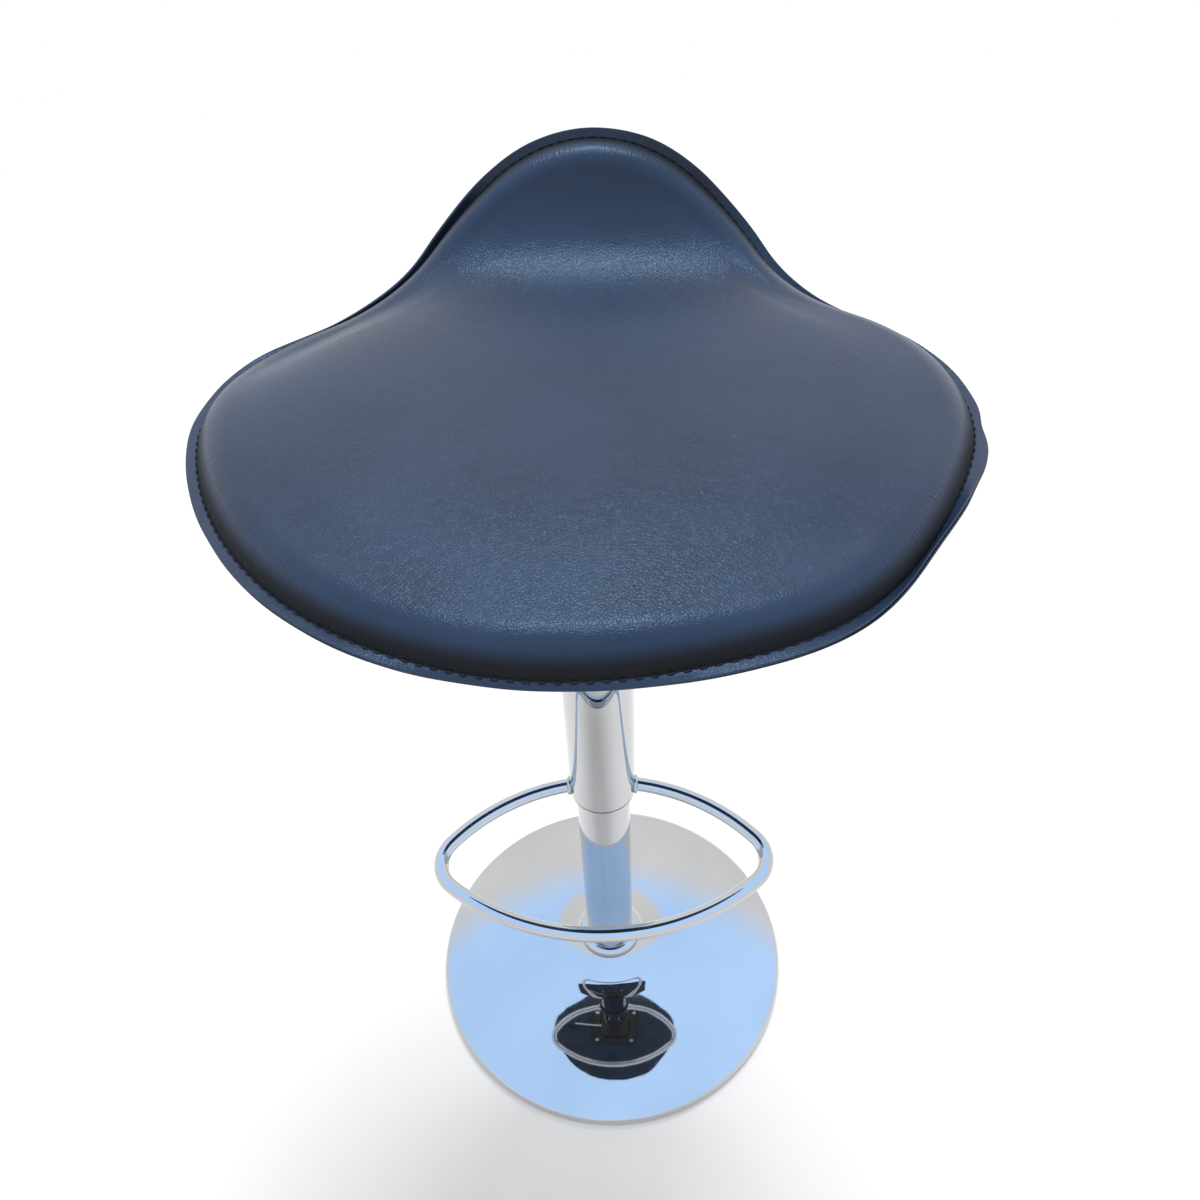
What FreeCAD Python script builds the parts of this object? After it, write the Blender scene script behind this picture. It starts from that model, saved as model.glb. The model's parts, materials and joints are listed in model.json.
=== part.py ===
import FreeCAD, Part
import math
import os

# Height-adjustable bar stool: a spun trumpet base, a telescoping gas-lift column, a footrest
# loop that rises with the seat, and a sewn saddle seat on a moulded shell.
# Millimetres, +Z up, origin on the floor under the column. The sitter faces -Y.

V = FreeCAD.Vector

# Overall sizes
base_radius = 192.5
column_radius = 25.0
sleeve_length = 344.0
seam_height = 748.0
seat_half_width = 236.0
lift_down = 140.0
lift_up = 80.0

# Clearances
running_fit = 0.05
slip_fit = 0.1
press_gap = 0.4
spigot_gap = 0.3
cut_over = 50.0

# Base
floor_ring_height = 3.5
floor_ring_width = 22.0
floor_ring_inset = 0.5
dome_floor_gap = 2.0
dome_wall = 1.5
dome_lip = 6.0
dome_edge_radius = 6.0
dome_rim_slope = 18.0
dome_shoulder_radius = 72.0
dome_shoulder_slope = 4.0
dome_neck_slope = 50.0
base_plate_thickness = 4.0
base_plate_hole_gap = 1.0
hub_wall = 5.0
hub_flange_width = 26.0
hub_flange_thickness = 4.0
collar_width = 8.5
collar_height = 11.0
collar_edge_radius = 7.0

# Column
column_wall = 1.5
column_bottom = 12.0
column_headroom = 57.0
column_floor_thickness = 3.0
column_taper_height = 46.0
column_taper_angle = 1.7
bush_length = 70.0
bush_flange_thickness = 3.0
bush_relief_depth = 1.2

# Gas spring
cylinder_radius = 14.0
cylinder_wall = 1.5
cylinder_cone_length = 61.0
cylinder_cone_angle = 1.44
cylinder_head_length = 66.0
cylinder_gland_length = 22.0
rod_radius = 5.0
rod_spigot_radius = 4.0
rod_end_below_floor = 6.0
rod_tip_radius = 3.5
piston_length = 12.0
piston_groove_depth = 1.5
piston_groove_width = 3.0
piston_travel_margin = 20.0
cylinder_end_margin = 10.0
cylinder_proud = 2.0
clip_radius = 7.5
clip_thickness = 1.1
clip_groove_depth = 0.8
clip_floor_gap = 1.6
clip_mouth = 5.0
buffer_radius = 14.0
buffer_thickness = 6.0
race_radius = 12.0
race_thickness = 1.5
ball_radius = 1.5
ball_pitch_radius = 8.5
ball_count = 9
cage_thickness = 1.4
valve_pin_radius = 3.0
valve_pin_rise = 7.0
valve_pin_length = 27.0
valve_pin_dome = 5.0
valve_bore_depth = 27.0

# Sleeve and footrest
sleeve_wall = 1.5
sleeve_guide_wall = 3.4
sleeve_guide_length = 20.0
sleeve_guide_lip = 2.0
sleeve_hub_length = 25.0
sleeve_cap_thickness = 2.0
sleeve_socket_gap = 2.0
footrest_tube_radius = 6.35
footrest_wall = 1.5
footrest_rise = 8.0
footrest_half_width = 140.0
footrest_front = 155.0
footrest_front_radius = 200.0
footrest_back_radius = 172.0
footrest_corner_radius = 31.0
footrest_turn = 3.0
weld_radius = 2.4

# Seat mechanism
pan_flange = 160.0
pan_corner_radius = 14.0
pan_sheet = 2.5
pan_depth = 32.0
pan_rim_depth = 6.0
well_top = 104.0
well_bottom = 92.0
well_top_corner = 22.0
well_bottom_corner = 16.0
bolt_offset = 64.0
bolt_radius = 3.0
bolt_hole_gap = 0.4
bolt_head_radius = 5.5
bolt_head_height = 4.2
washer_radius = 7.0
washer_thickness = 1.2
tnut_wall = 1.2
tnut_flange_radius = 9.0
tnut_flange_thickness = 1.2
bolt_end_gap = 1.5
socket_wall = 7.0
socket_flare_width = 7.0
socket_length = 20.5
socket_flare_height = 6.0
lever_radius = 4.0
lever_arm = 36.0
lever_tip_overrun = 5.0
lever_straight = 20.0
lever_bend_radius = 40.0
lever_droop = 8.0
lever_reach = 205.0
lever_swing = 5.0
lever_eye_radius = 7.0
lever_eye_half_width = 6.0
knob_length = 62.0
knob_root_radius = 6.5
knob_tip_radius = 9.0
knob_bore_depth = 50.0
pivot_radius = 2.5
pivot_head_radius = 4.0
pivot_head_thickness = 1.5
pivot_end_length = 2.0
bracket_sheet = 2.0
bracket_half_gap = 8.0
bracket_length = 14.0
bracket_ear_margin = 6.0
slot_gap = 2.0

# Seat: side profile at the seam, then the outline on a plane tilted towards the sitter
flat_front = -222.0
flat_back = 69.0
lip_radius = 122.0
lip_angle = 40.0
lip_run_on = 60.0
back_bend_radius = 101.5
back_bend_angle = 66.0
back_run_on = 70.0
outline_tilt = 25.0
outline_front = -227.0
outline_back = 198.0
lobe_place = -26.0
lobe_radius = 114.0
waist_radius = 245.0
back_arc_radius = 143.0
flange_width = 7.0
leather = 1.2
cushion_height = 22.0
cushion_edge_radius = 13.0
shell_depth = 12.0
shell_edge_radius = 6.0


def radians(angle):
    return math.radians(angle)


def line(a, b):
    return Part.LineSegment(a, b).toShape()


def arc(a, middle, b):
    return Part.Arc(a, middle, b).toShape()


def polygon(points):
    return Part.makePolygon(points + [points[0]])


def spin(points):
    """Solid turned about Z from (radius, height) corners."""
    wire = polygon([V(r, 0, z) for r, z in points])
    return Part.Face(wire).revolve(V(0, 0, 0), V(0, 0, 1), 360)


def spin_face(face):
    return face.revolve(V(0, 0, 0), V(0, 0, 1), 360)


def rod(radius, start, end):
    return Part.makeCylinder(radius, (end - start).Length, start, end - start)


def ring(inner, outer, low, high):
    return spin([(inner, low), (outer, low), (outer, high), (inner, high)])


def around(centre, radius, angle):
    """Point on a level circle."""
    return centre + V(math.cos(radians(angle)), math.sin(radians(angle)), 0) * radius


def group(solids):
    return Part.makeCompound(solids)


def four_corners(offset):
    return [(sx * offset, sy * offset) for sx in (-1, 1) for sy in (-1, 1)]


def save(node, shape):
    shape.exportStep("parts/" + node + ".step")


os.makedirs("parts", exist_ok=True)

# Heights that follow from the driving sizes
base_plate_top = floor_ring_height + base_plate_thickness
hub_radius = column_radius + hub_wall
collar_radius = column_radius + collar_width
column_inner = column_radius - column_wall
column_taper_top = column_bottom + column_taper_height
column_foot_radius = column_radius - column_taper_height * math.tan(radians(column_taper_angle))
seat_underside = seam_height - shell_depth
pan_underside = seat_underside - pan_sheet
well_floor_top = seat_underside - pan_depth
well_floor_bottom = well_floor_top - pan_sheet
socket_bottom = well_floor_bottom - socket_length
sleeve_cap_top = socket_bottom - sleeve_socket_gap
sleeve_top = sleeve_cap_top - sleeve_cap_thickness
sleeve_bottom = sleeve_top - sleeve_length
guide_bore = column_radius + slip_fit
sleeve_inner = guide_bore + sleeve_guide_wall
sleeve_radius = sleeve_inner + sleeve_wall
hub_plug_bottom = sleeve_top - sleeve_hub_length
column_top = hub_plug_bottom - lift_down - column_headroom
bush_bottom = column_top - bush_length
cylinder_top = well_floor_top + cylinder_proud
cone_start = cylinder_top - cylinder_cone_length
cylinder_inner = cylinder_radius - cylinder_wall
cylinder_bottom = bush_bottom - lift_up - cylinder_end_margin
gland_top = cylinder_bottom + cylinder_gland_length
piston_bottom = gland_top + lift_up + piston_travel_margin
piston_top = piston_bottom + piston_length
footrest_height = sleeve_bottom + footrest_rise
valve_pin_top = cylinder_top + valve_pin_rise
lever_height = valve_pin_top + press_gap + lever_radius


def column_taper(z):
    """Outer radius of the column's tapered foot at height z."""
    return column_radius - (column_taper_top - z) * math.tan(radians(column_taper_angle))


def cone(z):
    """Radius of the gas cylinder's tapered head at height z."""
    return cylinder_radius - (z - cone_start) * math.tan(radians(cylinder_cone_angle))


def turn(centre, radius, angle):
    """Point on a profile arc in the XZ plane; the angle is the slope of the arc there."""
    return centre + V(math.sin(radians(angle)), 0, math.cos(radians(angle))) * radius


# Base: three tangent arcs from the rim's lip over the crown to the flared neck
neck_radius = hub_radius + slip_fit
lip_bottom = V(base_radius, 0, dome_floor_gap)
lip_top = V(base_radius, 0, dome_floor_gap + dome_lip)
edge_centre = V(base_radius - dome_edge_radius, 0, lip_top.z)
edge_end = turn(edge_centre, dome_edge_radius, dome_rim_slope)
edge_middle = turn(edge_centre, dome_edge_radius, (90 + dome_rim_slope) / 2)
slope_drop = math.sin(radians(dome_rim_slope)) - math.sin(radians(dome_shoulder_slope))
crown_radius = (edge_end.x - dome_shoulder_radius) / slope_drop
crown_centre = turn(edge_end, -crown_radius, dome_rim_slope)
shoulder = turn(crown_centre, crown_radius, dome_shoulder_slope)
crown_middle = turn(crown_centre, crown_radius, (dome_rim_slope + dome_shoulder_slope) / 2)
slope_rise = math.sin(radians(dome_neck_slope)) - math.sin(radians(dome_shoulder_slope))
flare_radius = (shoulder.x - neck_radius - dome_wall) / slope_rise
flare_centre = turn(shoulder, flare_radius, dome_shoulder_slope)
neck = turn(flare_centre, -flare_radius, dome_neck_slope)
flare_middle = turn(flare_centre, -flare_radius, (dome_neck_slope + dome_shoulder_slope) / 2)
neck_top = neck.z
dome_line = Part.Wire([
    line(lip_bottom, lip_top),
    arc(lip_top, edge_middle, edge_end),
    arc(edge_end, crown_middle, shoulder),
    arc(shoulder, flare_middle, neck),
])
dome_sheet = dome_line.makeOffset2D(dome_wall, fill=True, openResult=True)
neck_bore = rod(neck_radius, V(0, 0, 0), V(0, 0, neck_top + cut_over))
save("base_dome", spin_face(dome_sheet).cut(neck_bore))

plate_radius = base_radius - dome_wall - slip_fit
plate_hole = column_radius + base_plate_hole_gap
save("base_plate", ring(plate_hole, plate_radius, floor_ring_height, base_plate_top))
ring_outer = plate_radius - floor_ring_inset
save("floor_ring", ring(ring_outer - floor_ring_width, ring_outer, 0, floor_ring_height))

hub_top = neck_top
hub_flange_radius = hub_radius + hub_flange_width
hub_flange_top = base_plate_top + hub_flange_thickness
save("base_hub", spin([
    (column_foot_radius, base_plate_top),
    (hub_flange_radius, base_plate_top),
    (hub_flange_radius, hub_flange_top),
    (hub_radius, hub_flange_top),
    (hub_radius, hub_top),
    (column_taper(hub_top), hub_top),
    (column_foot_radius, column_bottom),
]))

collar_top = hub_top + collar_height
collar = ring(column_radius + slip_fit, collar_radius, hub_top, collar_top)
collar_edges = [e for e in collar.Edges if abs(e.BoundBox.ZMin - collar_top) < slip_fit
                and abs(e.BoundBox.XMax - collar_radius) < slip_fit]
save("column_collar", collar.makeFillet(collar_edge_radius, collar_edges))

# Column tube with its tapered foot and closed floor
floor_top = column_bottom + column_floor_thickness
spigot_hole = rod_spigot_radius + spigot_gap
save("column_tube", spin([
    (spigot_hole, column_bottom),
    (column_foot_radius, column_bottom),
    (column_radius, column_taper_top),
    (column_radius, column_top),
    (column_inner, column_top),
    (column_inner, column_taper_top),
    (column_foot_radius - column_wall, floor_top),
    (spigot_hole, floor_top),
]))

bush_outer = column_inner - slip_fit
bush_waist = bush_outer - bush_relief_depth
bush_third = bush_length / 3
save("guide_bush", spin([
    (cylinder_radius + running_fit, bush_bottom),
    (bush_outer, bush_bottom),
    (bush_outer, bush_bottom + bush_third),
    (bush_waist, bush_bottom + bush_third),
    (bush_waist, column_top - bush_third),
    (bush_outer, column_top - bush_third),
    (bush_outer, column_top),
    (column_radius - slip_fit, column_top),
    (column_radius - slip_fit, column_top + bush_flange_thickness),
    (cylinder_radius + running_fit, column_top + bush_flange_thickness),
]))

# Thrust bearing between the column's floor and the shoulder of the piston rod
bearing_bore = rod_spigot_radius + slip_fit
buffer_top = floor_top + buffer_thickness
race_top = buffer_top + race_thickness
ball_height = race_top + running_fit + ball_radius
upper_race_bottom = ball_height + ball_radius
rod_shoulder = upper_race_bottom + race_thickness
save("bearing_cushion", ring(spigot_hole, buffer_radius, floor_top, buffer_top))
save("bearing_race_lower", ring(spigot_hole, race_radius, buffer_top, race_top))
save("bearing_race_upper", ring(bearing_bore, race_radius, upper_race_bottom, rod_shoulder))
ball_places = []
for index in range(ball_count):
    ball_places.append(around(V(0, 0, ball_height), ball_pitch_radius, 360 * index / ball_count))
save("bearing_balls", group([Part.makeSphere(ball_radius, place) for place in ball_places]))
cage = ring(bearing_bore + slip_fit, race_radius - slip_fit, ball_height - cage_thickness / 2,
            ball_height + cage_thickness / 2)
for place in ball_places:
    cage = cage.cut(rod(ball_radius + slip_fit, place - V(0, 0, ball_radius), place + V(0, 0, ball_radius)))
save("bearing_cage", cage)

# Piston rod, clip and piston
clip_top = column_bottom - clip_floor_gap
clip_bottom = clip_top - clip_thickness
groove_radius = rod_spigot_radius - clip_groove_depth
save("piston_rod", spin([
    (0, column_bottom - rod_end_below_floor),
    (rod_spigot_radius, column_bottom - rod_end_below_floor),
    (rod_spigot_radius, clip_bottom - running_fit),
    (groove_radius, clip_bottom - running_fit),
    (groove_radius, clip_top + running_fit),
    (rod_spigot_radius, clip_top + running_fit),
    (rod_spigot_radius, rod_shoulder),
    (rod_radius, rod_shoulder),
    (rod_radius, piston_bottom),
    (rod_tip_radius, piston_bottom),
    (rod_tip_radius, piston_top),
    (0, piston_top),
]))
clip_mouth_box = Part.makeBox(clip_radius, clip_mouth, clip_thickness, V(0, -clip_mouth / 2, clip_bottom))
clip = ring(groove_radius + running_fit, clip_radius, clip_bottom, clip_top)
save("retaining_clip", clip.cut(clip_mouth_box))
piston_radius = cylinder_inner - running_fit
groove_low = (piston_bottom + piston_top - piston_groove_width) / 2
save("piston_head", spin([
    (rod_tip_radius, piston_bottom),
    (piston_radius, piston_bottom),
    (piston_radius, groove_low),
    (piston_radius - piston_groove_depth, groove_low),
    (piston_radius - piston_groove_depth, groove_low + piston_groove_width),
    (piston_radius, groove_low + piston_groove_width),
    (piston_radius, piston_top),
    (rod_tip_radius, piston_top),
]))

# Pressure cylinder: tube, solid tapered head and the bore of the release pin
cavity_top = cylinder_top - cylinder_head_length
pin_bore = valve_pin_radius + slip_fit
bore_bottom = cylinder_top - valve_bore_depth
save("pressure_cylinder", spin([
    (cylinder_inner, cylinder_bottom),
    (cylinder_radius, cylinder_bottom),
    (cylinder_radius, cone_start),
    (cone(cylinder_top), cylinder_top),
    (pin_bore, cylinder_top),
    (pin_bore, bore_bottom),
    (0, bore_bottom),
    (0, cavity_top),
    (cylinder_inner, cavity_top),
]))
save("cylinder_gland", ring(rod_radius + running_fit, cylinder_inner, cylinder_bottom, gland_top))

pin_bottom = V(0, 0, valve_pin_top - valve_pin_length)
dome_centre = V(0, 0, valve_pin_top - valve_pin_dome)
pin_body = rod(valve_pin_radius, pin_bottom, V(0, 0, valve_pin_top))
pin_limit = Part.makeSphere(valve_pin_dome, dome_centre).fuse(rod(valve_pin_radius, pin_bottom, dome_centre))
save("valve_pin", pin_body.common(pin_limit).removeSplitter())

# Sleeve with its hub on the cylinder's taper and its plastic guide on the column
save("sleeve_tube", ring(sleeve_inner, sleeve_radius, sleeve_bottom, sleeve_top))
save("sleeve_hub", spin([
    (cone(hub_plug_bottom), hub_plug_bottom),
    (sleeve_inner, hub_plug_bottom),
    (sleeve_inner, sleeve_top),
    (sleeve_radius, sleeve_top),
    (sleeve_radius, sleeve_cap_top),
    (cone(sleeve_cap_top), sleeve_cap_top),
]))
save("sleeve_guide", spin([
    (guide_bore, sleeve_bottom - sleeve_guide_lip),
    (sleeve_radius - press_gap, sleeve_bottom - sleeve_guide_lip),
    (sleeve_radius - press_gap, sleeve_bottom),
    (sleeve_inner, sleeve_bottom),
    (sleeve_inner, sleeve_bottom + sleeve_guide_length),
    (guide_bore, sleeve_bottom + sleeve_guide_length),
]))

# Footrest: one tube bent into a front arc, two corners and two back arcs that end on the sleeve
front_centre = V(0, -footrest_front + footrest_front_radius, footrest_height)
corner_x = footrest_half_width - footrest_corner_radius
corner_y = front_centre.y - math.sqrt((footrest_front_radius - footrest_corner_radius) ** 2 - corner_x ** 2)
back_y = corner_y - math.sqrt((footrest_back_radius - footrest_corner_radius) ** 2 - corner_x ** 2)
back_centre = V(0, back_y, footrest_height)


def on_circle(centre, radius, towards):
    return centre + (towards - centre).normalize() * radius


def footrest_side(side):
    """The joints of one side: at the sleeve, along the back arc, round the corner, at the front."""
    corner = V(side * corner_x, corner_y, footrest_height)
    inside = V(side * (sleeve_inner - sleeve_wall), 0, footrest_height)
    root = back_centre + V(inside.x, math.sqrt(footrest_back_radius ** 2 - inside.x ** 2), 0)
    back_end = back_centre + (corner - back_centre).normalize() * footrest_back_radius
    front_end = front_centre + (corner - front_centre).normalize() * footrest_front_radius
    back_middle = on_circle(back_centre, footrest_back_radius, (root + back_end) * 0.5)
    corner_middle = corner + V(side * footrest_corner_radius, 0, 0)
    return root, back_middle, back_end, corner_middle, front_end


left = footrest_side(-1)
right = footrest_side(1)
footrest_path = Part.Wire([
    arc(left[0], left[1], left[2]),
    arc(left[2], left[3], left[4]),
    arc(left[4], V(0, -footrest_front, footrest_height), right[4]),
    arc(right[4], right[3], right[2]),
    arc(right[2], right[1], right[0]),
])


def along_footrest(radius):
    first = footrest_path.Edges[0]
    start_direction = first.tangentAt(first.FirstParameter)
    section = Part.Wire(Part.makeCircle(radius, left[0], start_direction))
    return footrest_path.makePipeShell([section], True, False)


def turned(shape):
    """The footrest sits a little off the seat's centre line, as its sleeve was pushed on."""
    copy = shape.copy()
    copy.rotate(V(0, 0, 0), V(0, 0, 1), footrest_turn)
    return copy


sleeve_core = rod(sleeve_radius, V(0, 0, footrest_height - cut_over), V(0, 0, footrest_height + cut_over))
footrest_outer = along_footrest(footrest_tube_radius)
footrest_bore = along_footrest(footrest_tube_radius - footrest_wall)
save("footrest_bar", turned(footrest_outer.cut(footrest_bore).cut(sleeve_core)))

welds = []
for side in (-1, 1):
    weld_x = math.sqrt(sleeve_radius ** 2 - (back_y + footrest_back_radius) ** 2)
    weld_y = back_y + math.sqrt(footrest_back_radius ** 2 - weld_x ** 2)
    place = V(side * weld_x, weld_y, footrest_height)
    bead = Part.makeTorus(footrest_tube_radius, weld_radius, place, V(1, 0, 0))
    welds.append(turned(bead.cut(sleeve_core).cut(footrest_outer)))
save("footrest_welds", group([s for w in welds for s in w.Solids]))


# Seat mechanism: a pressed pan bolted to the shell, with a tapered socket under its floor
def rounded_square(size, radius, z):
    half = size / 2 - radius
    corners = [V(-half, -half, z), V(half, -half, z), V(half, half, z), V(-half, half, z)]
    return polygon(corners).makeOffset2D(radius)


def well(shrink, low, high):
    """Drafted well of the pan, between two rounded squares."""
    top = rounded_square(well_top - 2 * shrink, well_top_corner - shrink, high)
    bottom = rounded_square(well_bottom - 2 * shrink, well_bottom_corner - shrink, low)
    return Part.makeLoft([bottom, top], True, True)


flange_wire = rounded_square(pan_flange, pan_corner_radius, pan_underside)
pan = Part.Face(flange_wire).extrude(V(0, 0, pan_sheet))
rim_wire = rounded_square(pan_flange - 2 * pan_sheet, pan_corner_radius - pan_sheet, pan_underside)
pan_rim = Part.Face(flange_wire).cut(Part.Face(rim_wire)).extrude(V(0, 0, -pan_rim_depth))
pan = pan.fuse(pan_rim)
pan = pan.fuse(well(0, well_floor_bottom, pan_underside)).cut(well(pan_sheet, well_floor_top, seat_underside))
pan = pan.cut(rod(cone(well_floor_bottom) + press_gap, V(0, 0, socket_bottom), V(0, 0, seat_underside)))
hole_radius = bolt_radius + bolt_hole_gap
for x, y in four_corners(bolt_offset):
    pan = pan.cut(rod(hole_radius, V(x, y, well_floor_bottom), V(x, y, seat_underside + pan_sheet)))
slot_half = lever_radius + slot_gap
wall_arm = well_top / 2 - lever_arm
slot_lift = wall_arm * math.sin(radians(lever_swing))
slot_box = Part.makeBox(lever_arm, 2 * slot_half, 2 * slot_half + slot_lift,
                        V(-well_top / 2 - lever_arm / 2, -slot_half, lever_height - slot_half))
save("seat_pan", pan.cut(slot_box).removeSplitter())

socket_radius = cylinder_radius + socket_wall
socket_flare_radius = socket_radius + socket_flare_width
save("pan_socket", spin([
    (cone(socket_bottom), socket_bottom),
    (socket_radius, socket_bottom),
    (socket_radius, well_floor_bottom - socket_flare_height),
    (socket_flare_radius, well_floor_bottom),
    (cone(well_floor_bottom), well_floor_bottom),
]))

bolts = []
washers = []
tnuts = []
shell_bottom = seat_underside + leather
washer_bottom = pan_underside - washer_thickness
for x, y in four_corners(bolt_offset):
    head_bottom = washer_bottom - bolt_head_height
    flats = [around(V(x, y, head_bottom), bolt_head_radius, 60 * index) for index in range(6)]
    head = Part.Face(polygon(flats)).extrude(V(0, 0, bolt_head_height))
    shank = rod(bolt_radius, V(x, y, washer_bottom), V(x, y, seam_height - bolt_end_gap))
    bolts.append(head.fuse(shank).removeSplitter())
    washer = rod(washer_radius, V(x, y, washer_bottom), V(x, y, pan_underside))
    washers.append(washer.cut(rod(bolt_radius, V(x, y, head_bottom), V(x, y, pan_underside))))
    barrel = rod(bolt_radius + tnut_wall, V(x, y, shell_bottom + slip_fit), V(x, y, seam_height))
    plate = rod(tnut_flange_radius, V(x, y, seam_height - tnut_flange_thickness), V(x, y, seam_height))
    tnuts.append(barrel.fuse(plate).cut(rod(bolt_radius, V(x, y, head_bottom), V(x, y, seam_height))))
save("seat_bolts", group(bolts))
save("seat_washers", group(washers))
save("seat_tnuts", group(tnuts))

# Release lever on a pin between the ears of a bracket on the pan's floor
pivot = V(-lever_arm, 0, lever_height)
ear_outer = bracket_half_gap + bracket_sheet
bracket_end = pivot.x - bracket_length / 2
ear_height = lever_height + bracket_ear_margin - well_floor_top
foot_corner = V(bracket_end, -ear_outer, well_floor_top)
bracket = Part.makeBox(bracket_length, 2 * ear_outer, bracket_sheet, foot_corner)
for ear_start in (-ear_outer, bracket_half_gap):
    ear_corner = V(bracket_end, ear_start, well_floor_top)
    bracket = bracket.fuse(Part.makeBox(bracket_length, bracket_sheet, ear_height, ear_corner))
pin_half = ear_outer + pivot_end_length
pivot_axis = rod(pivot_radius, pivot - V(0, pin_half, 0), pivot + V(0, pin_half, 0))
cone_room = rod(cone(well_floor_top) + press_gap, V(0, 0, well_floor_bottom), V(0, 0, lever_height))
save("lever_bracket", bracket.cut(pivot_axis).cut(cone_room).removeSplitter())
pivot_pin = pivot_axis
for side in (-1, 1):
    ear_face = pivot + V(0, side * ear_outer, 0)
    head_face = ear_face + V(0, side * pivot_head_thickness, 0)
    pivot_pin = pivot_pin.fuse(rod(pivot_head_radius, ear_face, head_face))
save("lever_pin", pivot_pin.removeSplitter())

lever_tip = V(lever_tip_overrun, 0, lever_height)
bend_start = pivot - V(lever_straight, 0, 0)
droop = radians(lever_droop)
bend_centre = bend_start - V(0, 0, lever_bend_radius)
bend_end = bend_centre + V(-math.sin(droop), 0, math.cos(droop)) * lever_bend_radius
bend_middle = bend_centre + V(-math.sin(droop / 2), 0, math.cos(droop / 2)) * lever_bend_radius
outward = V(-math.cos(droop), 0, -math.sin(droop))
lever_end = bend_end + outward * ((lever_reach + bend_end.x) / math.cos(droop))
lever_path = Part.Wire([
    line(lever_tip, bend_start),
    arc(bend_start, bend_middle, bend_end),
    line(bend_end, lever_end - outward * (knob_length - knob_bore_depth)),
])
lever_section = Part.Wire(Part.makeCircle(lever_radius, lever_tip, V(-1, 0, 0)))
lever = lever_path.makePipeShell([lever_section], True, False)
eye = rod(lever_eye_radius, pivot - V(0, lever_eye_half_width, 0), pivot + V(0, lever_eye_half_width, 0))
pin_clearance = rod(pivot_radius + running_fit, pivot - V(0, pin_half, 0), pivot + V(0, pin_half, 0))
save("lever_rod", lever.fuse(eye).cut(pin_clearance).removeSplitter())

knob_start = lever_end - outward * knob_length
tip_centre = V(0, 0, knob_length - knob_tip_radius)
knob_line = Part.Wire([
    line(V(lever_radius, 0, 0), V(knob_root_radius, 0, 0)),
    line(V(knob_root_radius, 0, 0), turn(tip_centre, knob_tip_radius, 90)),
    arc(turn(tip_centre, knob_tip_radius, 90), turn(tip_centre, knob_tip_radius, 45), V(0, 0, knob_length)),
    line(V(0, 0, knob_length), V(0, 0, knob_bore_depth)),
    line(V(0, 0, knob_bore_depth), V(lever_radius, 0, knob_bore_depth)),
    line(V(lever_radius, 0, knob_bore_depth), V(lever_radius, 0, 0)),
])
knob = spin_face(Part.Face(knob_line))
knob.Placement = FreeCAD.Placement(knob_start, FreeCAD.Rotation(V(0, 0, 1), outward))
save("lever_knob", knob)

# Seat: every layer is a band of the side profile cut to the outline on the tilted plane
lip_centre = (flat_front, seam_height - lip_radius)
bend_profile_centre = (flat_back, seam_height + back_bend_radius)


def profile_point(centre, radius, angle):
    """Point of the side profile at a slope angle: below zero on the lip, above on the back."""
    side = 1 if angle < 0 else -1
    y = centre[0] + radius * math.sin(radians(angle))
    z = centre[1] + radius * math.cos(radians(angle)) * side
    return V(0, y, z)


def slope(angle):
    """Direction that climbs towards the back at an angle."""
    return V(0, math.cos(radians(angle)), math.sin(radians(angle)))


def profile(height):
    """Side profile at a height over the seam, from the front lip to the top of the back."""
    lip = lip_radius + height
    bend = back_bend_radius - height
    lip_end = profile_point(lip_centre, lip, -lip_angle)
    back_end = profile_point(bend_profile_centre, bend, back_bend_angle)
    lip_tip = lip_end - slope(lip_angle) * lip_run_on
    back_tip = back_end + slope(back_bend_angle) * back_run_on
    front = V(0, flat_front, seam_height + height)
    back = V(0, flat_back, seam_height + height)
    return [
        line(lip_tip, lip_end),
        arc(lip_end, profile_point(lip_centre, lip, -lip_angle / 2), front),
        line(front, back),
        arc(back, profile_point(bend_profile_centre, bend, back_bend_angle / 2), back_end),
        line(back_end, back_tip),
    ]


def band(low, high):
    """Bent slab between two heights over the seam, wider than the seat."""
    under = profile(low)
    over = profile(high)
    ends = [
        line(under[-1].Vertexes[-1].Point, over[-1].Vertexes[-1].Point),
        line(over[0].Vertexes[0].Point, under[0].Vertexes[0].Point),
    ]
    wire = Part.Wire(Part.__sortEdges__(under + over + ends))
    half = seat_half_width + cut_over
    wire.translate(V(-half, 0, 0))
    return Part.Face(wire).extrude(V(2 * half, 0, 0))


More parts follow.
